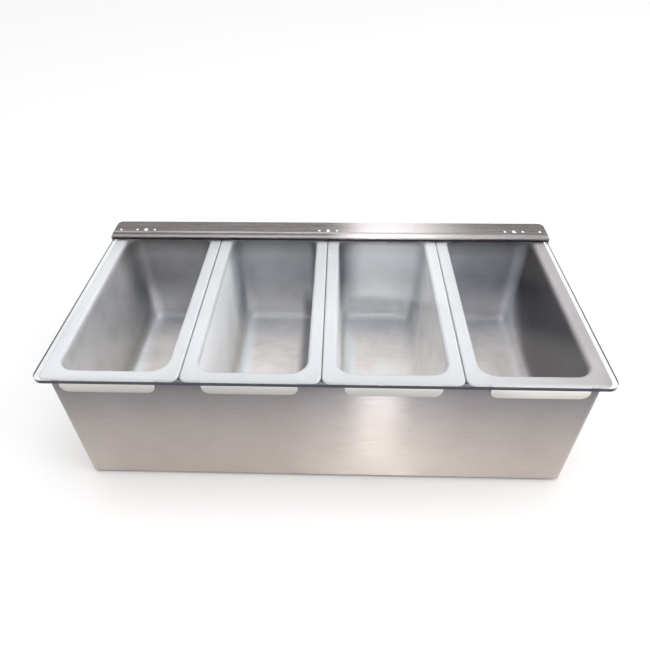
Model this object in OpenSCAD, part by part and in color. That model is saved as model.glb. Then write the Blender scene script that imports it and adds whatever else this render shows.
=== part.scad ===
// Countertop condiment caddy: a sheet-steel housing that carries four drawn inserts
// under one clear lid. The lid hangs in a rear rail on three butt hinges and flips back.
// X runs along the row of inserts, Y runs from front to back, Z is up.
// The origin is on the counter, under the middle of the caddy.

/* [Inserts] */
// Inside width of an insert at its mouth
insert_open_w = 64.5; // [50:0.5:90]
// Inside length of an insert at its mouth, front to back
insert_open_l = 145.1; // [110:0.1:200]
// Inside depth of an insert below its rim
insert_depth = 78.7; // [45:0.1:110]
// Sheet thickness of the inserts
insert_t = 0.8; // [0.5:0.1:1.2]
// Draft of the insert walls, in degrees
insert_draft = 1.5; // [0:0.5:2.5]
// Radius of the upright corners of an insert at its mouth
insert_corner_r = 10.5; // [9:0.5:16]
// Radius between the walls and the floor of an insert
insert_floor_r = 7.4; // [4:0.2:7.6]
// Radius between the rim and the walls, on the upper surface
mouth_r = 2; // [1.5:0.1:3]

/* [Insert rims] */
// Width of the rim along each side of an insert
rim_side_w = 8.35; // [6:0.05:12]
// Width of the rim at the front of an insert
rim_front_w = 8.1; // [6.5:0.1:14]
// Width of the rim at the back of an insert
rim_rear_w = 7.3; // [5:0.1:12]
// Plan radius of the outer corners of a rim
rim_corner_r = 5; // [2:0.5:8]
// Radius of the rolled edge of a rim
rim_edge_r = 1.2; // [1.2:0.1:2]
// Gap between neighbouring rims
rim_gap = 0.4; // [0.2:0.1:2]
// How far the rolled edge hangs clear of the housing's front wall
seat_gap = 0.3; // [0.2:0.1:0.8]

/* [Front tabs] */
// Width of the lifting tab at the front of an insert
tab_w = 55; // [25:1:70]
// Height of the tab below the top of the rim
tab_h = 7.5; // [6:0.5:14]
// Outside radius of the bend between rim and tab
tab_bend_r = 2.4; // [1.4:0.1:2.8]
// Radius of the lower corners of the tab
tab_corner_r = 5; // [2:0.5:6]
// Distance from the housing's front face to the tab's front face
tab_reach = 2.8; // [2.6:0.1:3.2]

/* [Housing] */
// Sheet thickness of the housing
housing_t = 0.8; // [0.6:0.1:1]
// Outside radius of the housing's upright corners
housing_corner_r = 4; // [2.5:0.5:10]
// How far the row of rims reaches past each side wall
rim_overhang = 5; // [4.8:0.1:5.4]
// Height of the hem folded inwards along the top edge
hem_h = 6; // [3:0.5:10]
// Free height between the inserts and the base
under_gap = 10; // [4:0.5:40]
// Height of the base tray's flange
base_flange_h = 8; // [4:0.5:20]
// Clearance between the base tray and the walls it is welded to
weld_gap = 0.1; // [0.05:0.05:0.3]

/* [Feet] */
// Height of a rubber foot
foot_h = 2.5; // [1.5:0.5:6]
// Radius of a rubber foot
foot_r = 6; // [4:0.5:10]
// Distance from the housing's faces to the centre of a foot
foot_inset = 16; // [12:1:30]
// Radius of the push-in stem of a foot
foot_stem_r = 2.5; // [1.5:0.5:3]
// Clearance between a foot's stem and its hole in the base
foot_stem_clear = 0.1; // [0:0.05:0.3]

/* [Lid] */
// Thickness of the clear panel
lid_t = 2.5; // [2:0.1:4]
// How far the lid reaches past the row of rims at each side
lid_side_lap = 2; // [1:0.1:6]
// How far the lid reaches past the housing's front face
lid_front_lap = 3.5; // [3:0.1:10]
// Plan radius of the lid's front corners
lid_corner_r = 6; // [2:0.5:12]
// Gap between the lid's rear edge and the hinge barrels
lid_rear_gap = 0.6; // [0.4:0.1:2]

/* [Rail] */
// Sheet thickness of the rail
rail_t = 0.8; // [0.6:0.1:1.2]
// Length of the rail from its front edge to its back, front to back
rail_l = 21.4; // [19:0.1:30]
// Distance from the back of the rail to its crease
rail_crease = 14.2; // [13.5:0.1:15]
// Height of the end cheeks
cheek_h = 7.4; // [5:0.1:9]
// Radius of the cheeks' lower corners
cheek_corner_r = 3; // [1:0.5:4]
// Height of the lip along the rail's back
rail_lip_h = 3.3; // [2:0.1:3.3]
// Plan radius of the rail's back corners
rail_corner_r = 4; // [2:0.5:8]
// Clearance between the cheeks and the lid's side edges
cheek_gap = 0.3; // [0.2:0.1:1]
// Clearance between the hinge barrels and the rail's back lip
barrel_back_gap = 0.4; // [0.3:0.1:1]
// Clearance between the hinge barrels and the underside of the rail
barrel_top_gap = 0.3; // [0.2:0.1:0.6]
// Thickness of the packing strip between rail and lid
packing_t = 1.2; // [0.8:0.1:2]
// How far the packing strip shows in front of the rail
packing_show = 0.4; // [0:0.1:1]

/* [Hinges] */
// Length of a hinge along its pin
hinge_w = 26; // [20:1:40]
// Thickness of the hinge leaves
leaf_t = 0.8; // [0.6:0.1:1]
// Outside radius of the hinge barrel
knuckle_r = 2.1; // [2:0.1:2.5]
// Radius of the hinge pin
pin_r = 1.1; // [0.8:0.1:1.2]
// Radial running clearance of the hinge pin
pin_clear = 0.05; // [0.02:0.01:0.1]
// Gap between neighbouring knuckles
knuckle_gap = 0.3; // [0.2:0.1:0.5]
// Distance from the lid's side edge to the middle of the outer hinges
hinge_inset = 23.5; // [20:0.5:60]
// Drop of the fixed leaf below the hinge pin
leaf_drop = 18.5; // [17:0.5:30]

/* [Rivets] */
// Shank radius of the large rivets
rivet_r = 1.2; // [0.9:0.1:1.3]
// Head radius of the large rivets
rivet_head_r = 2.3; // [1.9:0.1:2.6]
// Head height of the large rivets
rivet_head_h = 1; // [0.6:0.1:1.2]
// Shank radius of the small rivets
small_rivet_r = 0.8; // [0.6:0.1:1]
// Head radius of the small rivets
small_head_r = 1.4; // [1.2:0.1:1.7]
// Head height of the small rivets
small_head_h = 0.6; // [0.4:0.1:0.8]
// Clearance between a rivet's shank and its hole
rivet_clear = 0.05; // [0.02:0.01:0.1]
// Distance from the back of the rail to the row of rivets
rivet_row = 12; // [11:0.1:12]
// Distance from a large rivet to the small rivets beside it
small_rivet_spread = 6.8; // [5:0.1:9]
// Distance from the lid's side edge to the end rivets
end_rivet_inset = 4; // [3:0.5:8]
// Distance between the two rivets of a fixed leaf
leaf_rivet_pitch = 16; // [10:1:16]
// Height of the fixed leaf's rivets above its lower edge
leaf_rivet_up = 3.5; // [3:0.1:5]
// Height of a rivet's upset tail inside the housing
rivet_tail_h = 0.7; // [0.4:0.1:1]
// Radius of a rivet's upset tail
rivet_tail_r = 1.9; // [1.5:0.1:2.2]

/* [Hidden] */
$fn = 48;
least_r = 0.4; // the tightest radius that any bend in the sheet takes
least_floor_u = 0.8; // the least flat left under each corner of an insert, inside its floor bend
past = 1; // how far a cutting shape runs past the face that it cuts
insert_count = 4;
knuckle_count = 3;

// Plan of one insert and of the row
insert_rim_w = insert_open_w + 2 * rim_side_w;
insert_rim_l = rim_front_w + insert_open_l + rim_rear_w;
insert_pitch = insert_rim_w + rim_gap;
row_w = insert_count * insert_pitch - rim_gap;

// Housing, worked out from the row that it carries
housing_w = row_w - 2 * rim_overhang;
housing_d = insert_rim_l - insert_t;
housing_h = housing_t + under_gap + insert_depth + insert_t - rim_edge_r;

// Places from front to back
overall_d = lid_front_lap + housing_d + 2 * knuckle_r + barrel_back_gap + rail_t;
lid_front_y = -overall_d / 2;
wall_front_y = lid_front_y + lid_front_lap;
wall_rear_y = wall_front_y + housing_d;
housing_mid_y = (wall_front_y + wall_rear_y) / 2;
rim_front_y = wall_front_y - insert_t - seat_gap;
open_front_y = rim_front_y + rim_front_w;
open_mid_y = open_front_y + insert_open_l / 2;
rim_front = rim_front_y - open_mid_y; // from the middle of the mouth
hinge_y = wall_rear_y + knuckle_r;
rail_back_y = overall_d / 2;
rail_front_y = rail_back_y - rail_l;
rail_crease_y = rail_back_y - rail_crease;
rivet_y = rail_back_y - rivet_row;
lid_rear_y = wall_rear_y - lid_rear_gap;
leaf_front_y = rail_crease_y + knuckle_gap;

// Places from the counter up
wall_top_z = foot_h + housing_h;
rim_top_z = wall_top_z + rim_edge_r; // the rolled side edges rest across the walls
lid_top_z = rim_top_z + lid_t;
packing_top_z = lid_top_z + packing_t;
rail_under_z = packing_top_z + leaf_t;
rail_top_z = rail_under_z + rail_t;
rail_drop = leaf_t; // the rail's front edge comes down past the leaves onto the packing
hinge_z = rail_under_z - barrel_top_gap - knuckle_r;
leaf_rivet_z = hinge_z - leaf_drop + leaf_rivet_up;

// Lid and hinge places along the row
lid_w = row_w + 2 * lid_side_lap;
rail_w = lid_w + 2 * (cheek_gap + rail_t);
hinge_x = [for (side = [-1:1]) side * (lid_w / 2 - hinge_inset)];
end_rivet_x = [for (side = [-1, 1]) side * (lid_w / 2 - end_rivet_inset)];

// Insert section: the wall leans in by the draft between the mouth and the floor radius
draft_run = (insert_depth - mouth_r) * tan(insert_draft);
floor_r = min(insert_floor_r, insert_corner_r - draft_run - least_floor_u);
floor_u = insert_corner_r - draft_run - floor_r;

steel = [0.72, 0.70, 0.68];
bright_steel = [0.84, 0.84, 0.85];
dark_rubber = [0.08, 0.08, 0.09];
clear = [0.75, 0.82, 0.88, 0.35];

// ---- Shared shapes ----

module rounded_rect(w, l, r) {
  square([w - 2 * r, l], center = true);
  square([w, l - 2 * r], center = true);
  for (x = [-1, 1], y = [-1, 1])
    translate([x * (w / 2 - r), y * (l / 2 - r)]) circle(r);
}

// One quarter of a ring, in the quarter plane that the signs name
module quarter_ring(outer_r, thickness, x_side, y_side) {
  intersection() {
    difference() {
      circle(outer_r);
      circle(outer_r - thickness);
    }
    translate([x_side < 0 ? -outer_r : 0, y_side < 0 ? -outer_r : 0]) square(outer_r);
  }
}

// Takes a section drawn in the XY plane and runs it along X, with its own x as Y and y as Z
module along_x(length) {
  rotate([90, 0, 90]) translate([0, 0, -length / 2]) linear_extrude(length) children();
}

// Closed solid with round corners whose half section, u outwards from the corner axes, is the
// child. In the straight runs $core says how far inwards the child has to reach past the axis.
module round_form(axis_w, axis_l) {
  for (x = [-1, 1], y = [-1, 1])
    translate([x * axis_w / 2, y * axis_l / 2, 0]) rotate_extrude() let ($core = 0) children();
  for (x = [-1, 1])
    rotate([90, 0, x > 0 ? 0 : 180]) translate([axis_w / 2, 0, -axis_l / 2])
      linear_extrude(axis_l) let ($core = axis_w) children();
  for (y = [-1, 1])
    rotate([90, 0, y * 90]) translate([axis_l / 2, 0, -axis_w / 2])
      linear_extrude(axis_w) let ($core = axis_l) children();
}

module rivet(shank_r, grip, head_r, head_h) {
  dome_r = (head_r * head_r + head_h * head_h) / (2 * head_h);
  intersection() {
    translate([0, 0, head_h - dome_r]) sphere(dome_r);
    cylinder(h = head_h, r = head_r + past);
  }
  translate([0, 0, -grip]) cylinder(h = grip, r = shank_r);
}

// ---- Housing ----

module housing_shell() {
  color(steel) difference() {
    translate([0, housing_mid_y, foot_h]) difference() {
      linear_extrude(housing_h) inset_plan(0);
      translate([0, 0, -past]) linear_extrude(housing_h + 2 * past) inset_plan(2 * housing_t);
      translate([0, 0, -past]) linear_extrude(housing_h + past - hem_h) inset_plan(housing_t);
    }
    leaf_rivet_places()
      cylinder(h = 2 * (housing_t + past), r = rivet_r + rivet_clear, center = true);
  }
}

module housing_base() {
  outer_edge = housing_t + weld_gap;
  inner_edge = outer_edge + housing_t;
  color(steel) difference() {
    translate([0, housing_mid_y, foot_h]) difference() {
      linear_extrude(base_flange_h) inset_plan(outer_edge);
      translate([0, 0, housing_t]) linear_extrude(base_flange_h) inset_plan(inner_edge);
    }
    foot_places() cylinder(h = foot_h + housing_t + past, r = foot_stem_r + foot_stem_clear);
  }
}

// Plan of the housing, drawn in from its faces
module inset_plan(edge) {
  rounded_rect(housing_w - 2 * edge, housing_d - 2 * edge, max(housing_corner_r - edge, least_r));
}

module foot_places() {
  for (x = [-1, 1], y = [-1, 1])
    translate([x * (housing_w / 2 - foot_inset), housing_mid_y + y * (housing_d / 2 - foot_inset), 0])
      children();
}

// Each foot is pushed in from below and held by the bead above the base
module rubber_feet() {
  base_top = foot_h + housing_t;
  bead_r = foot_stem_r + housing_t;
  bead_top = base_top + foot_stem_r;
  color(dark_rubber) foot_places() rotate_extrude() polygon([
    [0, 0], [foot_r - foot_h / 2, 0], [foot_r, foot_h / 2], [foot_r, foot_h],
    [foot_stem_r, foot_h], [foot_stem_r, base_top], [bead_r, base_top],
    [foot_stem_r / 2, bead_top], [0, bead_top]
  ]);
}

// ---- Inserts ----

// Half section of the pan with z = 0 at the top of the rim: its inside, or its outside where
// skin is the sheet's thickness. The wall leans in and runs into the floor and the mouth.
module pan_section(skin) {
  top_u = insert_corner_r;
  low_u = floor_u + floor_r;
  low_z = floor_r - insert_depth;
  mouth_u = top_u + mouth_r;
  mouth_z = skin > 0 ? -skin / 2 : past;
  polygon([[-$core, -mouth_r], [top_u + skin, -mouth_r], [low_u + skin, low_z], [-$core, low_z]]);
  difference() {
    translate([-$core, -mouth_r]) square([$core + mouth_u, mouth_z + mouth_r]);
    translate([mouth_u, -mouth_r]) circle(mouth_r - skin);
  }
  intersection() {
    translate([floor_u, low_z]) circle(floor_r + skin);
    translate([0, -insert_depth - skin]) square([low_u + skin, floor_r + skin]);
  }
  translate([-$core, -insert_depth - skin]) square([$core + floor_u, floor_r + skin]);
}

module pan_form(skin) {
  round_form(insert_open_w - 2 * insert_corner_r, insert_open_l - 2 * insert_corner_r) pan_section(skin);
}

// Half section of the rim with its edge rolled down: its upper side, or its underside where
// skin is the sheet's thickness, which runs on down past the foot of the roll
module rim_section(skin) {
  roll_u = rim_corner_r - rim_edge_r;
  intersection() {
    translate([roll_u, -rim_edge_r]) circle(rim_edge_r - skin);
    translate([0, -rim_edge_r]) square([rim_corner_r, rim_edge_r]);
  }
  translate([-$core, -rim_edge_r]) square([$core + roll_u, rim_edge_r - skin]);
  if (skin > 0)
    translate([-$core, -rim_edge_r - past]) square([$core + rim_corner_r - skin, past]);
}

// The form runs on past the insert's rear, where the flat rim is cut off square
module rim_form(skin) {
  axis_w = insert_rim_w - 2 * rim_corner_r;
  axis_l = insert_rim_l;
  translate([0, rim_front + rim_corner_r + axis_l / 2, 0]) round_form(axis_w, axis_l) rim_section(skin);
}

// The tab takes the place of the rolled edge along its width and bends down before the housing
module front_tab() {
  face_y = rim_front + insert_t + seat_gap - tab_reach;
  flat_end = rim_front + 2 * rim_edge_r;
  intersection() {
    along_x(tab_w) {
      translate([face_y + tab_bend_r, -tab_bend_r]) quarter_ring(tab_bend_r, insert_t, -1, 1);
      translate([face_y, -tab_h]) square([insert_t, tab_h - tab_bend_r]);
      translate([face_y + tab_bend_r, -insert_t]) square([flat_end - face_y - tab_bend_r, insert_t]);
    }
    rotate([90, 0, 0]) linear_extrude(2 * insert_rim_l, center = true)
      rounded_rect(tab_w, 2 * tab_h, min(tab_corner_r, tab_h - tab_bend_r));
  }
}

module rim() {
  difference() {
    rim_form(0);
    rim_form(insert_t);
    translate([-insert_rim_w, rim_front + insert_rim_l, -insert_depth])
      cube([2 * insert_rim_w, 2 * insert_rim_l, 2 * insert_depth]);
    translate([-tab_w / 2, rim_front - past, -insert_depth])
      cube([tab_w, rim_edge_r + past, 2 * insert_depth]);
  }
}

module insert(place) {
  color(bright_steel)
    translate([(place - (insert_count + 1) / 2) * insert_pitch, open_mid_y, rim_top_z]) {
      difference() {
        union() {
          rim();
          pan_form(insert_t);
        }
        pan_form(0);
      }
      front_tab();
    }
}

// ---- Lid and rail ----

// Repeats its children down the rail: the large rivets, then the small ones
module large_rivet_places() {
  for (x = hinge_x) translate([x, rivet_y, 0]) children();
}

module small_rivet_places() {
  for (x = hinge_x, side = [-1, 1]) translate([x + side * small_rivet_spread, rivet_y, 0]) children();
  for (x = end_rivet_x) translate([x, rivet_y, 0]) children();
}

// Clearance holes for every rivet that passes the rail
module rail_rivet_holes() {
  hole_h = rail_top_z - rim_top_z + 2 * past;
  translate([0, 0, rim_top_z - past]) {
    large_rivet_places() cylinder(h = hole_h, r = rivet_r + rivet_clear);
    small_rivet_places() cylinder(h = hole_h, r = small_rivet_r + rivet_clear);
  }
}

module lid_panel() {
  lid_l = lid_rear_y - lid_front_y;
  color(clear) difference() {
    translate([0, (lid_rear_y + lid_front_y) / 2, rim_top_z]) linear_extrude(lid_t) union() {
      rounded_rect(lid_w, lid_l, lid_corner_r);
      translate([0, lid_l / 4]) square([lid_w, lid_l / 2], center = true);
    }
    rail_rivet_holes();
  }
}

module rail_packing() {
  front_y = rail_front_y - packing_show;
  color(dark_rubber) difference() {
    union() {
      translate([-lid_w / 2, front_y, lid_top_z]) cube([lid_w, lid_rear_y - front_y, packing_t]);
      for (x = [-lid_w / 2, lid_w / 2 - 2 * end_rivet_inset])
        translate([x, rail_crease_y, packing_top_z])
          cube([2 * end_rivet_inset, lid_rear_y - rail_crease_y, leaf_t]);
    }
    rail_rivet_holes();
  }
}

// Everything under the rail's upper surface, down to the foot of the cheeks
module rail_body(depth) {
  along_x(rail_w) polygon([
    [rail_front_y, rail_top_z - rail_drop],
    [rail_crease_y, rail_top_z],
    [rail_back_y, rail_top_z],
    [rail_back_y, rail_top_z - depth],
    [rail_crease_y, rail_top_z - depth],
    [rail_front_y, rail_top_z - (depth > rail_t ? depth : depth + rail_drop)]
  ]);
}

module rail_plan(shrink) {
  w = rail_w - 2 * shrink;
  l = rail_l - shrink;
  translate([0, rail_front_y + l / 2]) union() {
    rounded_rect(w, l, rail_corner_r - shrink);
    translate([0, -l / 4]) square([w, l / 2], center = true);
  }
}

module lid_rail() {
  back_flat = rail_w / 2 - rail_corner_r;
  lip_foot = rail_top_z - rail_lip_h;
  color(steel) difference() {
    union() {
      intersection() {
        rail_body(rail_t);
        linear_extrude(2 * rail_top_z) rail_plan(0);
      }
      intersection() {
        rail_body(cheek_h);
        linear_extrude(2 * rail_top_z) difference() {
          rail_plan(0);
          rail_plan(rail_t);
          translate([-back_flat, rail_front_y - past]) square([2 * back_flat, rail_l - rail_t]);
        }
        union() {
          intersection() {
            along_x(rail_w) translate([(rail_front_y + rail_back_y) / 2, rail_top_z])
              rounded_rect(rail_l, 2 * cheek_h, cheek_corner_r);
            for (side = [-1, 1])
              translate([side * rail_w / 2, 0, 0])
                cube([rail_w - lid_w, 2 * overall_d, 4 * rail_top_z], center = true);
          }
          translate([-rail_w, rail_front_y, lip_foot]) cube([2 * rail_w, 2 * rail_l, rail_lip_h]);
        }
      }
    }
    rail_rivet_holes();
  }
}

module rail_rivets() {
  color(bright_steel) large_rivet_places() translate([0, 0, rail_top_z])
    rivet(rivet_r, rail_top_z - rim_top_z, rivet_head_r, rivet_head_h);
}

module rail_small_rivets() {
  color(bright_steel) small_rivet_places() translate([0, 0, rail_top_z])
    rivet(small_rivet_r, rail_top_z - rim_top_z, small_head_r, small_head_h);
}

// ---- Hinges ----

// Every second knuckle of the barrel, counted from the first one named
module knuckle_row(first) {
  step = hinge_w / knuckle_count;
  for (i = [first:2:knuckle_count - 1])
    translate([-hinge_w / 2 + (i + 0.5) * step, 0, 0]) rotate([0, 90, 0])
      cylinder(h = step - knuckle_gap, r = knuckle_r, center = true);
}

// Room that the other leaf's knuckles need, cut from a leaf's edge
module knuckle_notches(first) {
  step = hinge_w / knuckle_count;
  size = 2 * (knuckle_r + knuckle_gap);
  for (i = [first:2:knuckle_count - 1])
    translate([-hinge_w / 2 + (i + 0.5) * step, 0, 0])
      cube([step + knuckle_gap, size, size], center = true);
}

module pin_bore() {
  rotate([0, 90, 0]) cylinder(h = hinge_w + 2 * past, r = pin_r + pin_clear, center = true);
}

module fixed_leaf(x) {
  color(steel) translate([x, hinge_y, hinge_z]) difference() {
    union() {
      difference() {
        translate([-hinge_w / 2, -knuckle_r, -leaf_drop]) cube([hinge_w, leaf_t, leaf_drop]);
        knuckle_notches(1);
      }
      knuckle_row(0);
    }
    pin_bore();
    for (side = [-1, 1])
      translate([side * leaf_rivet_pitch / 2, -knuckle_r, leaf_rivet_up - leaf_drop])
        rotate([90, 0, 0]) cylinder(h = 2 * (leaf_t + past), r = rivet_r + rivet_clear, center = true);
  }
}

module moving_leaf(x) {
  leaf_front = leaf_front_y - hinge_y;
  leaf_under = packing_top_z - hinge_z;
  color(steel) difference() {
    translate([x, hinge_y, hinge_z]) difference() {
      union() {
        difference() {
          translate([-hinge_w / 2, leaf_front, leaf_under]) cube([hinge_w, -leaf_front, leaf_t]);
          knuckle_notches(0);
        }
        knuckle_row(1);
      }
      pin_bore();
    }
    rail_rivet_holes();
  }
}

module hinge_pin(x) {
  color(bright_steel) translate([x, hinge_y, hinge_z]) rotate([0, 90, 0])
    cylinder(h = hinge_w, r = pin_r, center = true);
}

// Stands its children at each rivet of the fixed leaves, with z pointing out of the rear wall
module leaf_rivet_places() {
  for (x = hinge_x, side = [-1, 1])
    translate([x + side * leaf_rivet_pitch / 2, wall_rear_y, leaf_rivet_z]) rotate([-90, 0, 0]) children();
}

module hinge_rivets() {
  color(bright_steel) leaf_rivet_places() {
    translate([0, 0, leaf_t]) rivet(rivet_r, leaf_t + housing_t, rivet_head_r, rivet_head_h);
    translate([0, 0, -housing_t - rivet_tail_h]) cylinder(h = rivet_tail_h, r = rivet_tail_r);
  }
}

housing_shell();
housing_base();
rubber_feet();
insert(1);  // insert_1
insert(2);  // insert_2
insert(3);  // insert_3
insert(4);  // insert_4
lid_panel();
lid_rail();
rail_packing();
rail_rivets();
rail_small_rivets();
fixed_leaf(hinge_x[0]);  // hinge_1_fixed_leaf
fixed_leaf(hinge_x[1]);  // hinge_2_fixed_leaf
fixed_leaf(hinge_x[2]);  // hinge_3_fixed_leaf
moving_leaf(hinge_x[0]);  // hinge_1_moving_leaf
moving_leaf(hinge_x[1]);  // hinge_2_moving_leaf
moving_leaf(hinge_x[2]);  // hinge_3_moving_leaf
hinge_pin(hinge_x[0]);  // hinge_1_pin
hinge_pin(hinge_x[1]);  // hinge_2_pin
hinge_pin(hinge_x[2]);  // hinge_3_pin
hinge_rivets();
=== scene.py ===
import math
import bmesh
import bpy
from mathutils import Euler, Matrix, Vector


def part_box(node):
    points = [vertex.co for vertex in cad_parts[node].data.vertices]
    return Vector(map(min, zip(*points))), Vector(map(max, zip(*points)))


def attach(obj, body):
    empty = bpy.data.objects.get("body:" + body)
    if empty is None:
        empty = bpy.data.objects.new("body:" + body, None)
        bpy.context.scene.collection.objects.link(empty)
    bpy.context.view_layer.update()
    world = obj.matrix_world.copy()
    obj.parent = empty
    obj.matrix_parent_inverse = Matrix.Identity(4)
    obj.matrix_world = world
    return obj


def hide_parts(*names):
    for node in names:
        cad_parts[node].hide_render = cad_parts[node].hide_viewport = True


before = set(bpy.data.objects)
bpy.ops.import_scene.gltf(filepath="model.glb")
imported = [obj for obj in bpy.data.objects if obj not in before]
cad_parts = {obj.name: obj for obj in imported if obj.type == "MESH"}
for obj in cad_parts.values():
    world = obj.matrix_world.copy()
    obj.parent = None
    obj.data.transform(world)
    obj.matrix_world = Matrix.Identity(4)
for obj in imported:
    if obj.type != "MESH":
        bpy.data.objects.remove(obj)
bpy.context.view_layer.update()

# ---- Housing shell ----
# The caddy's outer box: one strip of 0.8 mm stainless sheet folded round four corners and seam
# welded. Its top edge is hemmed over to the inside, which stiffens it and carries the inserts.

wall = 0.0008
hem_depth = 0.006
shell_corner = 0.004
close_by = 1e-5  # places nearer to each other than this count as one
shell_low, shell_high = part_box("housing_shell")


def pick(kind, test):
    """Select, in edit mode, the faces, edges or vertices whose middle and normal pass the test."""
    bpy.ops.mesh.select_all(action="DESELECT")
    bpy.ops.mesh.select_mode(type=kind)
    mesh = bmesh.from_edit_mesh(bpy.context.object.data)
    mesh.normal_update()
    for part in {"FACE": mesh.faces, "EDGE": mesh.edges, "VERT": mesh.verts}[kind]:
        if kind == "FACE":
            middle, normal = part.calc_center_median(), part.normal
        elif kind == "EDGE":
            middle = (part.verts[0].co + part.verts[1].co) / 2
            normal = (part.verts[1].co - part.verts[0].co).normalized()
        else:
            middle, normal = part.co, part.normal
        part.select_set(bool(test(middle, normal)))
    mesh.select_flush_mode()
    bmesh.update_edit_mesh(bpy.context.object.data)


def blank(name, low, high):
    """A new flat sheet between two corners, open in edit mode and named for its piece."""
    bpy.ops.object.select_all(action="DESELECT")
    middle, size = (Vector(low) + Vector(high)) / 2, Vector(high) - Vector(low)
    bpy.ops.mesh.primitive_plane_add(size=1, location=middle)
    piece = bpy.context.object
    piece.name = piece.data.name = name
    piece.scale = (size.x, size.y, 1)
    bpy.ops.object.transform_apply(location=True, rotation=True, scale=True)
    bpy.ops.object.mode_set(mode="EDIT")
    return piece


def step_in(steps):
    """Inset the selected face again and again: each step is how far in and how far along it."""
    for inward, along in steps:
        if inward > 0:
            bpy.ops.mesh.inset(thickness=inward, depth=along, use_even_offset=True)
        else:
            mesh = bmesh.from_edit_mesh(bpy.context.object.data)
            normal = next(face.normal for face in mesh.faces if face.select)
            bpy.ops.mesh.extrude_region_move(TRANSFORM_OT_translate={"value": normal * along})


def bend(radius, start, end, count, out=1):
    """Steps for step_in that follow an arc between two angles, in degrees from straight in."""
    turn = [math.radians(start + (end - start) * i / count) for i in range(count + 1)]
    return [(radius * abs(math.cos(b) - math.cos(a)), out * radius * (math.sin(b) - math.sin(a)))
            for a, b in zip(turn, turn[1:])]


def finish_sheet(piece, edge=0.0, count=2, angle=40):
    """Ease the piece's cut edges and shade it, with flats flat and bends round."""
    bpy.ops.object.mode_set(mode="OBJECT")
    if edge:
        ease = piece.modifiers.new("eased edges", "BEVEL")
        ease.width, ease.segments = edge, count
        ease.limit_method, ease.angle_limit = "ANGLE", math.radians(angle)
        bpy.ops.object.modifier_apply(modifier=ease.name)
    bpy.ops.object.shade_smooth()
    flats = piece.modifiers.new("flats", "WEIGHTED_NORMAL")
    flats.mode, flats.weight = "FACE_AREA", 80
    bpy.ops.object.modifier_apply(modifier=flats.name)


def join_up(value, socket):
    """Give a socket its value: a link from another socket, or a number or colour."""
    if isinstance(value, bpy.types.NodeSocket):
        links.new(value, socket)
    else:
        socket.default_value = value


def span(source, low, high, start=0.0, end=1.0, smooth=False):
    """A value that runs from start to end while the source runs from low to high."""
    reach = nodes.new("ShaderNodeMapRange")
    reach.interpolation_type = "SMOOTHSTEP" if smooth else "LINEAR"
    for socket, value in zip(("From Min", "From Max", "To Min", "To Max"), (low, high, start, end)):
        reach.inputs[socket].default_value = value
    links.new(source, reach.inputs["Value"])
    return reach.outputs["Result"]


def shades(source, stops, steps=False):
    """A colour that goes through the given stops while the source runs from 0 to 1."""
    ramp = nodes.new("ShaderNodeValToRGB")
    ramp.color_ramp.interpolation = "CONSTANT" if steps else "LINEAR"
    for reach, tone in stops[1:-1]:
        ramp.color_ramp.elements.new(reach)
    for stop, (reach, tone) in zip(ramp.color_ramp.elements, stops):
        stop.position = reach
        stop.color = (*tone, 1) if isinstance(tone, tuple) else (tone, tone, tone, 1)
    links.new(source, ramp.inputs["Fac"])
    return ramp.outputs["Color"]


def blended(amount, first, second, kind="MIX"):
    """Two colours mixed, or multiplied; each is a socket or a fixed colour."""
    mix = nodes.new("ShaderNodeMix")
    mix.data_type, mix.blend_type = "RGBA", kind
    for name, value in (("Factor_Float", amount), ("A_Color", first), ("B_Color", second)):
        join_up(value, next(socket for socket in mix.inputs if socket.identifier == name))
    return next(socket for socket in mix.outputs if socket.identifier == "Result_Color")


def toned_by(colour, *tones):
    """A colour multiplied by one tone after another."""
    for tone in tones:
        colour = blended(1.0, colour, tone, "MULTIPLY")
    return colour


def sums(kind, *values):
    """A Math node of one kind over sockets and numbers."""
    node = nodes.new("ShaderNodeMath")
    node.operation = kind
    for socket, value in zip(node.inputs, values):
        join_up(value, socket)
    return node.outputs["Value"]


def product(first, *others):
    """Values multiplied together."""
    for other in others:
        first = sums("MULTIPLY", first, other)
    return first


def noise(detail, scale, stretch=(1, 1, 1), rough=0.5):
    """A cloudy 0 to 1 pattern on the piece's own coordinates, drawn out by the stretch."""
    spot, drawn_out = nodes.new("ShaderNodeTexCoord"), nodes.new("ShaderNodeMapping")
    drawn_out.inputs["Scale"].default_value = stretch
    cloud = nodes.new("ShaderNodeTexNoise")
    cloud.inputs["Scale"].default_value = scale
    cloud.inputs["Detail"].default_value = detail
    cloud.inputs["Roughness"].default_value = rough
    links.new(spot.outputs["Object"], drawn_out.inputs["Vector"])
    links.new(drawn_out.outputs["Vector"], cloud.inputs["Vector"])
    return cloud.outputs["Fac"]


def spot_of():
    """The three coordinates of the point on the piece."""
    spot, split = nodes.new("ShaderNodeTexCoord"), nodes.new("ShaderNodeSeparateXYZ")
    links.new(spot.outputs["Object"], split.inputs[0])
    return split.outputs


def relief(pattern, depth, strength=0.5):
    """Raises the surface by the pattern, for a light effect."""
    bump = nodes.new("ShaderNodeBump")
    bump.inputs["Strength"].default_value = strength
    bump.inputs["Distance"].default_value = depth
    links.new(pattern, bump.inputs["Height"])
    links.new(bump.outputs["Normal"], shader.inputs["Normal"])


def finish(name, metallic=0.0):
    """A new material; its nodes, links and shader are the ones that the calls after it add to."""
    global nodes, links, shader
    made = bpy.data.materials.new(name)
    made.use_nodes = True
    nodes, links = made.node_tree.nodes, made.node_tree.links
    shader = nodes["Principled BSDF"]
    shader.inputs["Metallic"].default_value = metallic
    return made


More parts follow.
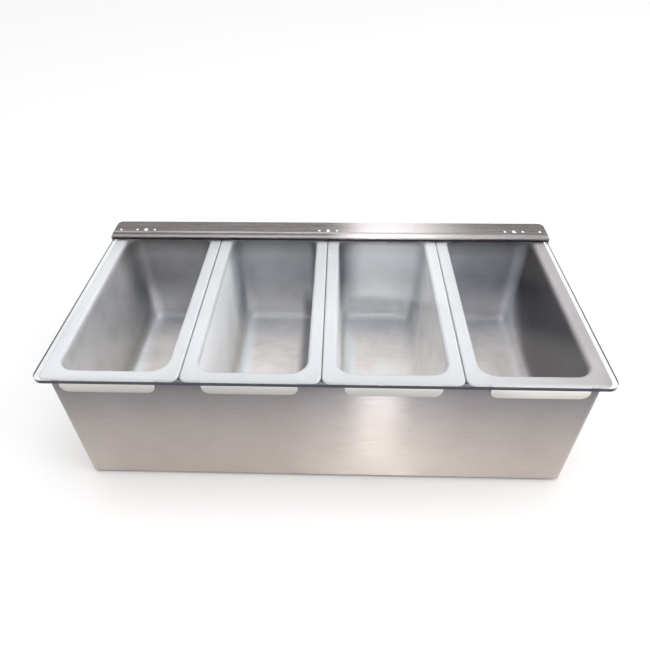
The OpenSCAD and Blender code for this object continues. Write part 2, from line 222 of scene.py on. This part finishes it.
def steel(name, rough, grain, depth, spread=0.15):
    """Stainless steel and its grain, which is drawn out along one axis in its gloss and relief."""
    made = finish(name, metallic=1.0)
    lines = noise(detail=6, scale=1, stretch=grain, rough=0.62)
    gloss = span(lines, 0.25, 0.75, rough * (1 - spread), rough * (1 + spread))
    links.new(gloss, shader.inputs["Roughness"])
    relief(lines, depth)
    return made, lines


# The strip is drawn up from its corners, hemmed over, and left open at top and bottom
shell = blank("shell", shell_low, (shell_high.x, shell_high.y, shell_low.z))
bpy.ops.mesh.select_all(action="SELECT")
bpy.ops.mesh.bevel(offset=shell_corner, segments=10, affect="VERTICES")
bpy.ops.mesh.extrude_region_move(
    TRANSFORM_OT_translate={"value": (0, 0, shell_high.z - wall - shell_low.z)})
pick("FACE", lambda m, n: n.z > 0.9)
step_in(bend(wall, 0, 90, 4) + bend(wall, 90, 180, 4) + [(0, wall - hem_depth)])
pick("FACE", lambda m, n: n.z < -0.9 and m.z < shell_low.z + close_by)
step_in([(wall, 0), (0, shell_low.z + hem_depth - shell_high.z), (wall, 0)])
hem_mid = (shell_low + shell_high) / 2
hem_mid.z = shell_high.z - hem_depth
pick("FACE", lambda m, n: (m - hem_mid).length < close_by)
bpy.ops.mesh.delete(type="ONLY_FACE")
bpy.ops.mesh.select_all(action="SELECT")
bpy.ops.mesh.remove_doubles(threshold=2 * close_by)
bpy.ops.mesh.normals_make_consistent(inside=False)
finish_sheet(shell)

# Brushed level round the box, with painted shade darkening it towards the top under the lid,
# painted light towards the bottom, and a painted highlight band
brushed, lines = steel(
    "brushed sheet steel", rough=0.31, grain=(50, 50, 1900), depth=0.0000015, spread=0.2)
shader.inputs["Anisotropic"].default_value = 1.0
shader.inputs["Anisotropic Rotation"].default_value = 0.25
round_box = nodes.new("ShaderNodeTangent")
round_box.direction_type, round_box.axis = "RADIAL", "Z"
links.new(round_box.outputs["Tangent"], shader.inputs["Tangent"])
at = spot_of()
up_wall = span(at["Z"], shell_low.z, shell_high.z)
painted_light_and_shade_up_wall = shades(up_wall, (
    (0.0, (1.0, 0.985, 0.96)), (0.27, (0.86, 0.84, 0.83)), (0.48, (0.73, 0.72, 0.72)),
    (0.62, (0.64, 0.64, 0.65)), (0.78, (0.52, 0.53, 0.56)), (0.9, (0.42, 0.43, 0.47)),
    (1.0, (0.28, 0.28, 0.32))))
painted_highlight_up_wall = shades(up_wall, (
    (0.0, (0.9, 0.89, 0.87)), (0.5, (0.88, 0.88, 0.88)), (0.85, (0.8, 0.81, 0.84)),
    (0.93, (0.7, 0.71, 0.75)), (1.0, (0.4, 0.41, 0.45))))
# A painted highlight: a bright vertical band across the front where the window lamp mirrors
band_from, band_to, band_fade = 0.01, 0.056, 0.02
painted_highlight_band = product(
    span(at["X"], band_from, band_from + band_fade, smooth=True),
    span(at["X"], band_to - band_fade, band_to, 1, 0, smooth=True))
painted_band_and_shade = blended(painted_highlight_band, painted_light_and_shade_up_wall, painted_highlight_up_wall)
grain_tones = shades(lines, ((0.25, (0.575, 0.525, 0.495)), (0.75, (0.685, 0.635, 0.605))))
stains = shades(noise(detail=4, scale=26), (
    (0.3, (0.95, 0.93, 0.93)), (0.5, 1.0), (0.7, (1.04, 1.04, 1.05))))
links.new(toned_by(grain_tones, stains, painted_band_and_shade), shader.inputs["Base Color"])
shell.data.materials.append(brushed)
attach(shell, "housing")
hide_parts("housing_shell")

# ---- Housing base ----
# A shallow folded tray that closes the box from below, spot welded inside the shell, with a
# hole near each corner for a foot.


def merged(node):
    """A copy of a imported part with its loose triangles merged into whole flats, in edit mode."""
    bpy.ops.object.select_all(action="DESELECT")
    piece = bpy.data.objects.new(node + "_finished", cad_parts[node].data.copy())
    bpy.context.collection.objects.link(piece)
    bpy.context.view_layer.objects.active = piece
    piece.select_set(True)
    piece.data.materials.clear()
    bpy.ops.object.mode_set(mode="EDIT")
    bpy.ops.mesh.select_all(action="SELECT")
    bpy.ops.mesh.remove_doubles(threshold=close_by / 10)
    bpy.ops.mesh.dissolve_limited(angle_limit=math.radians(0.4))
    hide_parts(node)
    return piece


def dressed(node, edge=0.0, angle=40):
    """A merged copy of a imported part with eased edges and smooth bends."""
    piece = merged(node)
    finish_sheet(piece, edge, angle=angle)
    return piece


base = dressed("housing_base", edge=0.0002)
base.data.materials.append(brushed)
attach(base, "housing")

# ---- Feet ----
# Four push-in feet of black rubber. Each has a tapered stem with a bead that snaps through the
# base, and lifts the caddy clear of the counter.

feet = dressed("rubber_feet", edge=0.0003, angle=30)
rubber = finish("black rubber")
shader.inputs["Base Color"].default_value = (0.012, 0.012, 0.013, 1)
shader.inputs["Specular IOR Level"].default_value = 0.35
grit = noise(detail=2, scale=1800)
links.new(span(grit, 0, 1, 0.55, 0.8), shader.inputs["Roughness"])
relief(grit, depth=0.00005, strength=0.4)
feet.data.materials.append(rubber)
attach(feet, "housing")

# ---- Inserts ----
# Four pans deep drawn from 0.8 mm stainless sheet. Each hangs in the housing by a flat rim whose
# edge is rolled down, and has a tab bent down at the front to lift it out by. It isn't fixed.

sheet, cut_edge = 0.0008, 0.0002
open_w, open_l, pan_depth = 0.0645, 0.1451, 0.0787
open_corner, mouth_bend, floor_bend, floor_ring = 0.0105, 0.002, 0.0074, 0.004
rim_front, rim_roll, rim_corner, rim_band = 0.0081, 0.0012, 0.005, 0.002
tab_w, tab_h, tab_bend, tab_corner, tab_lead = 0.055, 0.0075, 0.0024, 0.005, 0.0017
cut_l, cut_w, spare, floor_inset = 0.008, 0.007, 0.02, 0.001
lean = (pan_depth - mouth_bend) * math.tan(math.radians(1.5))
pan_low, pan_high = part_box("insert_1")
pan_x = (pan_low.x + pan_high.x) / 2
rim_y, rim_z = pan_low.y + tab_lead, pan_high.z
roll_y = rim_y + rim_roll
mouth_y = rim_y + rim_front + open_l / 2
pan_floor = rim_z - pan_depth
below_rim = rim_z - 0.01
tab_back = rim_y - tab_lead + tab_bend

# Rim: its outer edge is rolled down, and it starts too long at the back
pan = blank("pan_1", (pan_low.x, rim_y, rim_z - rim_roll),
            (pan_high.x, pan_high.y + spare, rim_z - rim_roll))
pick("VERT", lambda m, n: m.y < rim_y + close_by)
bpy.ops.mesh.bevel(offset=rim_corner, segments=10, affect="VERTICES")
pick("FACE", lambda m, n: True)
step_in(bend(rim_roll, 0, 90, 5))
bpy.ops.mesh.delete(type="ONLY_FACE")

# Mouth, side walls and floor, drawn down from one plane, and the rim filled in round the mouth
bpy.ops.mesh.primitive_plane_add(size=1, location=(pan_x, mouth_y, rim_z))
bpy.ops.transform.resize(
    value=(open_w + 2 * mouth_bend, open_l + 2 * mouth_bend, 1),
    center_override=(pan_x, mouth_y, rim_z))
bpy.ops.mesh.bevel(offset=open_corner + mouth_bend, segments=14, affect="VERTICES")
pick("FACE", lambda m, n: abs(m.y - mouth_y) < close_by and abs(m.x - pan_x) < close_by)
straight = pan_depth - mouth_bend - floor_bend
wall_steps = [(lean / 4, -straight / 4)] * 2 + [(lean / 20, -straight / 20)] * 10
step_in(bend(mouth_bend, 90, 180, 7) + wall_steps + bend(floor_bend, 0, 90, 8, -1)
        + [(floor_inset, 0)])
bpy.ops.mesh.remove_doubles(threshold=sheet)
step_in([(floor_ring, 0)] * 3)
pick("EDGE", lambda m, n: m.z > rim_z - close_by)
bpy.ops.mesh.fill(use_beauty=True)
bpy.ops.mesh.tris_convert_to_quads()

# Cut into even fields, so that the bends of the floor can be softened, and trimmed at the back
for step in range(-8, 9):
    pick("FACE", lambda m, n: m.z < below_rim)
    bpy.ops.mesh.bisect(plane_co=(0, mouth_y + step * cut_l, 0), plane_no=(0, 1, 0))
for step in range(-3, 4):
    pick("FACE", lambda m, n: m.z < below_rim)
    bpy.ops.mesh.bisect(plane_co=(pan_x + step * cut_w, 0, 0), plane_no=(1, 0, 0))
for soft_up_to, again in ((0.036, 12), (0.026, 30)):
    pick("VERT", lambda m, n: m.z < pan_floor + soft_up_to)
    bpy.ops.mesh.vertices_smooth(factor=0.5, repeat=again)
bpy.ops.mesh.select_all(action="SELECT")
bpy.ops.mesh.bisect(plane_co=(0, pan_high.y, 0), plane_no=(0, 1, 0), clear_outer=True)

# Tab, bent down from the front of the rim
for tab_side in (-1, 1):
    pick("FACE", lambda m, n: m.y < rim_y + rim_front and m.z > rim_z - rim_band)
    bpy.ops.mesh.bisect(plane_co=(pan_x + tab_side * tab_w / 2, 0, 0), plane_no=(1, 0, 0))
pick("FACE", lambda m, n: m.y < roll_y and abs(m.x - pan_x) < tab_w / 2)
bpy.ops.mesh.delete(type="FACE")
pick("EDGE", lambda m, n: abs(m.y - roll_y) < close_by and abs(m.x - pan_x) < tab_w / 2
     and abs(n.x) > 0.9)
bpy.ops.mesh.extrude_edges_move(TRANSFORM_OT_translate={"value": (0, tab_back - roll_y, 0)})
bpy.ops.mesh.spin(steps=9, angle=math.radians(-90), axis=(1, 0, 0),
                  center=(pan_x, tab_back, rim_z - tab_bend))
bpy.ops.mesh.extrude_edges_move(TRANSFORM_OT_translate={"value": (0, 0, tab_bend - tab_h)})
pick("VERT", lambda m, n: m.y < rim_y and m.z < rim_z - tab_h + close_by)
bpy.ops.mesh.bevel(offset=tab_corner, segments=8, affect="VERTICES")

# The sheet gets its thickness downwards
bpy.ops.mesh.select_all(action="SELECT")
bpy.ops.mesh.remove_doubles(threshold=close_by / 10)
bpy.ops.mesh.normals_make_consistent(inside=False)
bpy.ops.object.mode_set(mode="OBJECT")
if next(face for face in pan.data.polygons if face.center.z > rim_z - close_by).normal.z < 0:
    pan.data.flip_normals()
gauge = pan.modifiers.new("sheet", "SOLIDIFY")
gauge.thickness, gauge.offset, gauge.use_even_offset = sheet, -1, True
bpy.ops.object.modifier_apply(modifier=gauge.name)
finish_sheet(pan, edge=cut_edge, angle=50)

# Places on the pans: along the whole row, and from left to right within each pan
drawn = steel("drawn pan steel", rough=0.46, grain=(700, 500, 500), depth=0.000001)[0]
at = spot_of()
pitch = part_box("insert_2")[0].x - pan_low.x
in_row = sums("MULTIPLY_ADD", at["X"], 1 / pitch, 2)
in_pan = sums("FRACT", in_row)
along_row = sums("MULTIPLY", in_row, 0.25)

# Floor and side walls, from left to right in each pan: painted light on the left wall and its bend
# with a painted dark band between, a warm floor, and painted shade darkening towards the right wall
painted_light_across_pan = shades(in_pan, (
    (0.0, 1.0), (0.11, 1.0), (0.126, (0.72, 0.715, 0.7)), (0.14, (0.5, 0.49, 0.45)),
    (0.158, (0.56, 0.55, 0.52)), (0.188, 1.0), (0.24, (0.93, 0.89, 0.87)),
    (0.3, (0.86, 0.785, 0.745)), (0.7, (0.86, 0.785, 0.745)), (0.8, (0.77, 0.72, 0.69)),
    (0.872, (0.7, 0.68, 0.67)), (1.0, (0.64, 0.63, 0.63))))

# Back wall, with painted shade darkening its upper half and one tone to a pan
painted_shade_back_top = shades(along_row, (
    (0.0, (0.285, 0.295, 0.315)), (0.25, (0.37, 0.4, 0.425)), (0.5, (0.245, 0.268, 0.29)),
    (0.75, (0.275, 0.3, 0.345))), steps=True)
painted_back_low = shades(along_row, (
    (0.0, (0.57, 0.57, 0.59)), (0.25, (0.55, 0.55, 0.57)), (0.5, (0.54, 0.555, 0.575)),
    (0.75, (0.56, 0.56, 0.59))), steps=True)
# Painted highlights in the corner bends at the back of each pan, with painted shade beside some of
# them
painted_corner_highlights = shades(along_row, (
    (0.0, 0.6), (0.036, 0.75), (0.041, 1.75), (0.049, 1.65), (0.068, 1.0), (0.28, 0.6),
    (0.286, 0.75), (0.292, 1.4), (0.3, 1.3), (0.32, 1.0), (0.53, 1.2), (0.545, 1.2),
    (0.56, 1.0), (0.935, 1.0), (0.95, 1.35), (0.967, 1.6), (0.972, 0.8)))
back_shade_from, back_shade_to = pan_floor + 0.006, pan_floor + 0.045
back = blended(span(at["Z"], back_shade_from, back_shade_to, smooth=True),
               toned_by(painted_back_low, painted_corner_highlights), painted_shade_back_top)
# Painted shade low on the back wall, over its bend into the floor
heel_shade_top = pan_floor + 0.02
painted_heel_shade = shades(span(at["Z"], pan_floor, heel_shade_top), (
    (0.0, 0.93), (0.05, 0.84), (0.16, 0.77), (0.32, 0.88), (0.6, 1.0), (1.0, 1.0)))
# Painted shadow of the rail across the top of the back wall
rail_shade_from, rail_shade_to = rim_z - 0.018, rim_z - 0.008
painted_rail_shadow = shades(span(at["Z"], rail_shade_from, rail_shade_to), ((0.0, 1.0), (1.0, 0.5)))
back_from, back_to = pan_high.y - 0.05, pan_high.y - 0.012
inside = blended(span(at["Y"], back_from, back_to, smooth=True), painted_light_across_pan,
                 toned_by(back, painted_heel_shade, painted_rail_shadow))

# Painted shade on the right wall of the last pan, which starts lower down towards the front
front_y, middle_y, start_lower = 0.0, 0.07, 0.0016
last_from, last_to = 0.1, 0.16
towards_front = span(at["Y"], front_y, middle_y, start_lower, 0.0, smooth=True)
painted_shade_last_wall = shades(span(sums("ADD", at["X"], towards_front), last_from, last_to), (
    (0.0, 1.0), (0.6, 0.95), (0.84, 1.0), (0.865, 1.0), (0.895, (0.19, 0.165, 0.17)),
    (0.912, (0.095, 0.082, 0.086)), (0.94, 0.16)))
# Painted light and shade, pan by pan: darker on the first pan's left wall, lighter on the second
# pan's left wall and through the third pan, and a painted dark band at the second pan's right wall
painted_light_by_pan = shades(along_row, (
    (0.0, 0.74), (0.035, 0.76), (0.05, 1.0), (0.25, 1.0), (0.26, 1.15), (0.28, 1.15),
    (0.284, 1.35), (0.293, 1.35), (0.305, 1.04), (0.45, 1.04), (0.466, 0.85), (0.47, 0.5),
    (0.478, 0.5), (0.49, 1.0), (0.51, 1.2), (0.54, 1.2), (0.555, 1.08), (0.69, 1.08),
    (0.71, 1.1), (0.726, 1.1), (0.735, 1.0), (0.78, 1.0), (0.8, 1.04), (1.0, 1.04)))

# Painted shadow on the right bend of the second pan, except high on its back wall
bend_from, bend_full, pan_2_end, bend_shadow = 0.426, 0.447, 0.49, 0.8
front_to, back_to_bend = 0.03, 0.06
low_to, high_from = pan_floor + 0.012, pan_floor + 0.03
low_down = sums("MAXIMUM", span(at["Y"], front_to, back_to_bend, 1, 0),
                span(at["Z"], low_to, high_from, 1, 0))
painted_shadow_right_bend = product(low_down, span(along_row, bend_from, bend_full, 0, bend_shadow, smooth=True),
                     sums("LESS_THAN", along_row, pan_2_end))
with_painted_shadow = blended(painted_shadow_right_bend, toned_by(inside, painted_shade_last_wall, painted_light_by_pan), (0.12, 0.115, 0.12, 1))

# Light patches and drawing marks all over the inside
handled = shades(noise(detail=5, scale=40, rough=0.62), ((0.3, 0.93), (0.5, 1.08), (0.7, 1.18)))
drawn_marks = shades(noise(detail=4, scale=1, stretch=(60, 900, 900), rough=0.6), (
    (0.3, 0.95), (0.7, 1.05)))
toned = toned_by(with_painted_shadow, handled, drawn_marks)

# Rim and tab, left satin. Their tones hold painted light and shade: darker towards the back of the
# rims and down each tab, lighter at the left end of the rims and darker at the right, and the last
# tab lighter
tab_top = rim_z - 0.0015
edge_front, edge_back = rim_y - 0.001, rim_y + 0.002
satin_from, satin_to = rim_z - 0.006, rim_z - 0.0005
painted_shade_front_to_back = shades(span(at["Y"], pan_low.y, pan_high.y), (
    (0.0, (0.54, 0.53, 0.5)), (0.0075, (0.54, 0.53, 0.5)), (0.02, (0.58, 0.575, 0.575)),
    (0.1, (0.6, 0.6, 0.605)), (0.5, (0.66, 0.655, 0.655)), (0.8, (0.6, 0.595, 0.595)),
    (1.0, (0.43, 0.425, 0.425))))
painted_shade_down_tab = shades(span(at["Z"], rim_z - tab_h, tab_top), ((0.0, 0.72), (1.0, 1.0)))
along_rims = span(at["X"], pan_low.x, -pan_low.x)
painted_light_along_rims = shades(along_rims, (
    (0.0, 1.12), (0.2, 1.09), (0.23, 1.0), (0.76, 1.0), (1.0, (0.7, 0.64, 0.63))))
painted_light_along_tabs = shades(along_rims, (
    (0.0, 1.05), (0.3, 0.95), (0.55, 1.03), (0.8, 1.12), (0.85, 1.36), (1.0, 1.36)))
over_edge = span(at["Y"], edge_front, edge_back)
rims = toned_by(painted_shade_front_to_back, painted_shade_down_tab, blended(over_edge, painted_light_along_tabs, painted_light_along_rims))
satin = sums("MAXIMUM", span(at["Z"], satin_from, satin_to, smooth=True),
             sums("LESS_THAN", at["Y"], rim_y + 0.001))
links.new(blended(satin, toned, rims), shader.inputs["Base Color"])

# Burnished steel mirrors most, the left wall of the second pan less, and a satin rim least
left_wall, pan_2_left, half_wall = 0.125, 1.1, 0.1
burnished_metal, satin_metal, paler = 0.75, 0.12, 0.35
second_left = product(sums("LESS_THAN", in_pan, left_wall),
                      sums("COMPARE", in_row, pan_2_left, half_wall))
mirror = product(span(satin, 0, 1, burnished_metal, satin_metal), span(second_left, 0, 1, 1, paler))
links.new(mirror, shader.inputs["Metallic"])
pan.data.materials.append(drawn)
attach(pan, "housing")
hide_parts("insert_1")
for place in (2, 3, 4):
    bpy.ops.object.select_all(action="DESELECT")
    copy = bpy.data.objects.new(f"pan_{place}", pan.data.copy())
    bpy.context.collection.objects.link(copy)
    bpy.context.view_layer.objects.active = copy
    copy.select_set(True)
    bpy.ops.object.mode_set(mode="EDIT")
    bpy.ops.mesh.select_all(action="SELECT")
    bpy.ops.transform.translate(value=(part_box(f"insert_{place}")[0].x - pan_low.x, 0, 0))
    bpy.ops.object.mode_set(mode="OBJECT")
    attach(copy, "housing")
    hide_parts(f"insert_{place}")

# ---- Lid ----
# One flat sheet of clear acrylic, 2.5 mm thick, sawn to size with polished edges. It's drilled
# for the rivets of the rail, which clamps its rear edge.


def either(choice, first, second):
    """A shader that is the first one, or the second one where the choice is 1."""
    mix = nodes.new("ShaderNodeMixShader")
    for value, socket in zip((choice, first, second), mix.inputs):
        links.new(value, socket)
    return mix.outputs[0]


rim_clearance = 0.00005
lid_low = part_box("lid_panel")[0]
lid = merged("lid_panel")
pick("VERT", lambda m, n: m.z < lid_low.z + close_by)
bpy.ops.transform.translate(value=(0, 0, rim_clearance))
finish_sheet(lid, edge=0.0003, count=3)
clear = finish("clear acrylic")
shader.inputs["Base Color"].default_value = (0.96, 0.98, 1.0, 1)
shader.inputs["Transmission Weight"].default_value = 1.0
shader.inputs["Roughness"].default_value = 0.03
shader.inputs["IOR"].default_value = 1.49
through = nodes.new("ShaderNodeBsdfTransparent")
ray = nodes.new("ShaderNodeLightPath")
links.new(either(ray.outputs["Is Shadow Ray"], shader.outputs[0], through.outputs[0]),
          nodes["Material Output"].inputs["Surface"])
# The lid's edges get a near-black colour, a painted shade standing in for the dark look of clear
# acrylic's edges; the saw marks vary it
painted_dark_edge = finish("acrylic edge painted dark")
saw_marks = noise(detail=4, scale=1, stretch=(40, 40, 900))
links.new(shades(saw_marks, ((0.3, (0.01, 0.012, 0.03)), (0.7, (0.03, 0.035, 0.07)))),
          shader.inputs["Base Color"])
links.new(span(saw_marks, 0, 1, 0.15, 0.35), shader.inputs["Roughness"])
lid.data.materials.append(clear)
lid.data.materials.append(painted_dark_edge)
for face in lid.data.polygons:
    face.material_index = 1 if abs(face.normal.z) < 0.5 else 0
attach(lid, "lid")

# ---- Rail packing ----
# A black rubber strip between the lid and the rail, so that the rivets can pull up tight without
# cracking the acrylic.

# Its black, seen under the rail's front lip, also stands in for the shade in the gap there
packing = dressed("rail_packing", edge=0.0002)
packing.data.materials.append(rubber)
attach(packing, "lid")

# ---- Rail ----
# A folded stainless strip along the lid's rear edge. It has a crease, a turned-down front lip
# and a cheek at each end, and holds the moving leaves of the hinges.

rail = dressed("lid_rail", edge=0.0002, angle=4)
rail_low, rail_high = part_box("lid_rail")
rail_steel, lines = steel(
    "rail steel", rough=0.26, grain=(30, 1300, 1300), depth=0.000003, spread=0.25)
shader.inputs["Anisotropic"].default_value = 0.8
shader.inputs["Anisotropic Rotation"].default_value = 0.25
along_rail = nodes.new("ShaderNodeCombineXYZ")
along_rail.inputs["X"].default_value = 1
links.new(along_rail.outputs[0], shader.inputs["Tangent"])
at = spot_of()
over_rail = span(at["Y"], rail_low.y, rail_high.y)
# Painted light and shade across the rail: painted highlights along the front lip and the crease, a
# painted shade between them, and a painted highlight over the right half where the window lamp
# mirrors
painted_lines_left_half = shades(over_rail, (
    (0.0, 0.3), (0.05, 0.7), (0.11, 0.7), (0.17, 0.3), (0.24, 0.3), (0.29, 0.85), (0.33, 0.85),
    (0.38, 0.58), (1.0, 0.56)))
painted_highlight_right_half = toned_by(
    shades(span(at["X"], 0.02, 0.15), ((0.0, 1.1), (0.35, 1.05), (0.7, 0.64), (1.0, 0.57))),
    shades(over_rail, (
        (0.0, 0.6), (0.05, 1.22), (0.22, 1.22), (0.27, 0.66), (0.31, 0.66), (0.36, 1.04),
        (1.0, 0.97))))
painted_light_on_rail = blended(span(at["X"], -0.004, 0.028, smooth=True), painted_lines_left_half, painted_highlight_right_half)
grain_tones = shades(lines, ((0.25, (0.66, 0.62, 0.62)), (0.75, (0.81, 0.76, 0.76))))
links.new(toned_by(painted_light_on_rail, grain_tones), shader.inputs["Base Color"])
cheek_steel, lines = steel(
    "rail cheek steel", rough=0.3, grain=(1300, 40, 1300), depth=0.000002)
links.new(shades(lines, ((0.25, (0.42, 0.4, 0.4)), (0.75, (0.5, 0.48, 0.48)))),
          shader.inputs["Base Color"])
rail.data.materials.append(rail_steel)
rail.data.materials.append(cheek_steel)
for face in rail.data.polygons:
    face.material_index = 1 if abs(face.normal.x) > 0.7 else 0
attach(rail, "lid")

# ---- Rail rivets ----
# Three steel rivets hold the rail, the lid and the hinges together, with smaller ones beside
# them and one at each end of the rail.

rivet_steel, lines = steel("rivet steel", rough=0.27, grain=(500, 500, 500), depth=0.00001)
links.new(shades(lines, ((0.3, (0.86, 0.86, 0.87)), (0.7, (0.95, 0.95, 0.95)))),
          shader.inputs["Base Color"])
for node in ("rail_rivets", "rail_small_rivets"):
    rivets = dressed(node)
    rivets.data.materials.append(rivet_steel)
    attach(rivets, "lid")

# ---- Hinges ----
# Three butt hinges of folded steel behind the rail. Each has a leaf riveted to the rear wall, a
# leaf under the rail, and a pin through their knuckles.

for place in (1, 2, 3):
    for kind, body, metal, slot in (
            ("fixed_leaf", "housing", rail_steel, "brushed_steel"),
            ("moving_leaf", "lid", rail_steel, "brushed_steel"),
            ("pin", "housing", rivet_steel, "rivet_steel")):
        part = dressed(f"hinge_{place}_{kind}", edge=0.0001)
        part.data.materials.append(metal)
        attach(part, body)
heads = dressed("hinge_rivets")
heads.data.materials.append(rivet_steel)
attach(heads, "housing")

# ---- Counter and light ----
# The caddy stands on a plain pale counter in a grey room with a bright ceiling, a pane of light
# behind it and a soft glow in front for the steel to mirror. A tall narrow window lamp in front
# and a softbox on the right light it.

bpy.ops.object.select_all(action="DESELECT")
bpy.ops.mesh.primitive_plane_add(size=12, location=(0, 3, 0))
counter = bpy.context.object
counter.name = "counter"
white = finish("white counter")
shader.inputs["Base Color"].default_value = (0.95, 0.95, 0.95, 1)
shader.inputs["Roughness"].default_value = 0.9
counter.data.materials.append(white)

room = bpy.data.worlds.new("room")
room.use_nodes = True
nodes, links = room.node_tree.nodes, room.node_tree.links
toward, split = nodes.new("ShaderNodeTexCoord"), nodes.new("ShaderNodeSeparateXYZ")
links.new(toward.outputs["Generated"], split.inputs[0])
side, far, up = split.outputs

# Grey walls and a bright ceiling, dimmer over the front, with a pane of light behind
grazing, room_light, gap_light, glow_light = 0.2, 3.0, 0.6, 2.2
gap_way = (-0.69, 0.724)
heights = shades(up, (
    (0.0, (0.113, 0.103, 0.097)), (0.5, (0.12, 0.11, 0.103)), (0.555, (0.1, 0.093, 0.09)),
    (0.57, (0.033, 0.037, 0.043)), (0.622, (0.04, 0.043, 0.05)), (0.642, (0.2, 0.2, 0.2)),
    (0.79, (0.233, 0.233, 0.235)), (0.87, (0.833, 0.835, 0.84)), (1.0, (0.867, 0.87, 0.875))))
pane_side = sums("DIVIDE", side, sums("MAXIMUM", far, grazing))
pane = product(
    span(pane_side, 0.0, 0.05, smooth=True), span(pane_side, 0.1, 0.3, 1, 0, smooth=True),
    span(up, 0.4, 0.52, smooth=True), span(up, 0.617, 0.627, 1, 0))
walls = nodes["Background"]
links.new(blended(pane, heights, (0.8, 0.81, 0.83, 1)), walls.inputs["Color"])
in_gap = sums("ADD", product(far, gap_way[0]), product(up, gap_way[1]))
links.new(span(in_gap, 0.78, 0.93, room_light, gap_light, smooth=True), walls.inputs["Strength"])

# A soft glow from a doorway in front
glow_side = sums("DIVIDE", side, sums("MAXIMUM", product(far, -1), grazing))
doorway = product(
    span(glow_side, -0.16, 0.04, smooth=True), span(glow_side, 0.17, 0.37, 1, 0, smooth=True),
    span(up, 0.54, 0.72, 1, 0, smooth=True), sums("LESS_THAN", far, 0))
glow, lit = nodes.new("ShaderNodeBackground"), nodes.new("ShaderNodeAddShader")
glow.inputs["Color"].default_value = (1, 0.99, 0.98, 1)
links.new(product(doorway, glow_light), glow.inputs["Strength"])
links.new(walls.outputs[0], lit.inputs[0])
links.new(glow.outputs[0], lit.inputs[1])

# Seen straight and not in a mirror, the room is plain white
backdrop = nodes.new("ShaderNodeBackground")
backdrop.inputs["Color"].default_value = (1, 1, 1, 1)
ray = nodes.new("ShaderNodeLightPath")
links.new(either(ray.outputs["Is Camera Ray"], lit.outputs[0], backdrop.outputs[0]),
          nodes["World Output"].inputs["Surface"])
bpy.context.scene.world = room

for name, spot, aim, width, height, power in (
        ("window", (0.146, -1.5, 0.66), (0.03, -0.08, 0.06), 0.04, 1.3, 6.0),
        ("softbox", (1.3, -0.2, 1.1), (0, 0, 0.05), 1.0, 1.0, 7.0)):
    light = bpy.data.lights.new(name, "AREA")
    light.shape, light.size, light.size_y = "RECTANGLE", width, height
    light.energy = power
    lamp = bpy.data.objects.new(name, light)
    lamp.location = spot
    lamp.rotation_euler = (Vector(aim) - Vector(spot)).to_track_quat("-Z", "Y").to_euler()
    bpy.context.collection.objects.link(lamp)
bpy.context.scene.view_settings.view_transform = "Standard"

# ---- Camera ----
# A camera with a 36 mm wide sensor and a 30 mm lens. It is held 0.32 m above the counter, in
# front of the caddy, and looks down into the pans.

eye = bpy.data.cameras.new("eye")
eye.sensor_width, eye.lens = 36, 29.997
camera = bpy.data.objects.new("eye", eye)
camera.location = (0.01075, -0.28797, 0.31944)
camera.rotation_euler = Euler([math.radians(a) for a in (48.5662, 0.6276, 1.7012)])
bpy.context.collection.objects.link(camera)
bpy.context.scene.camera = camera
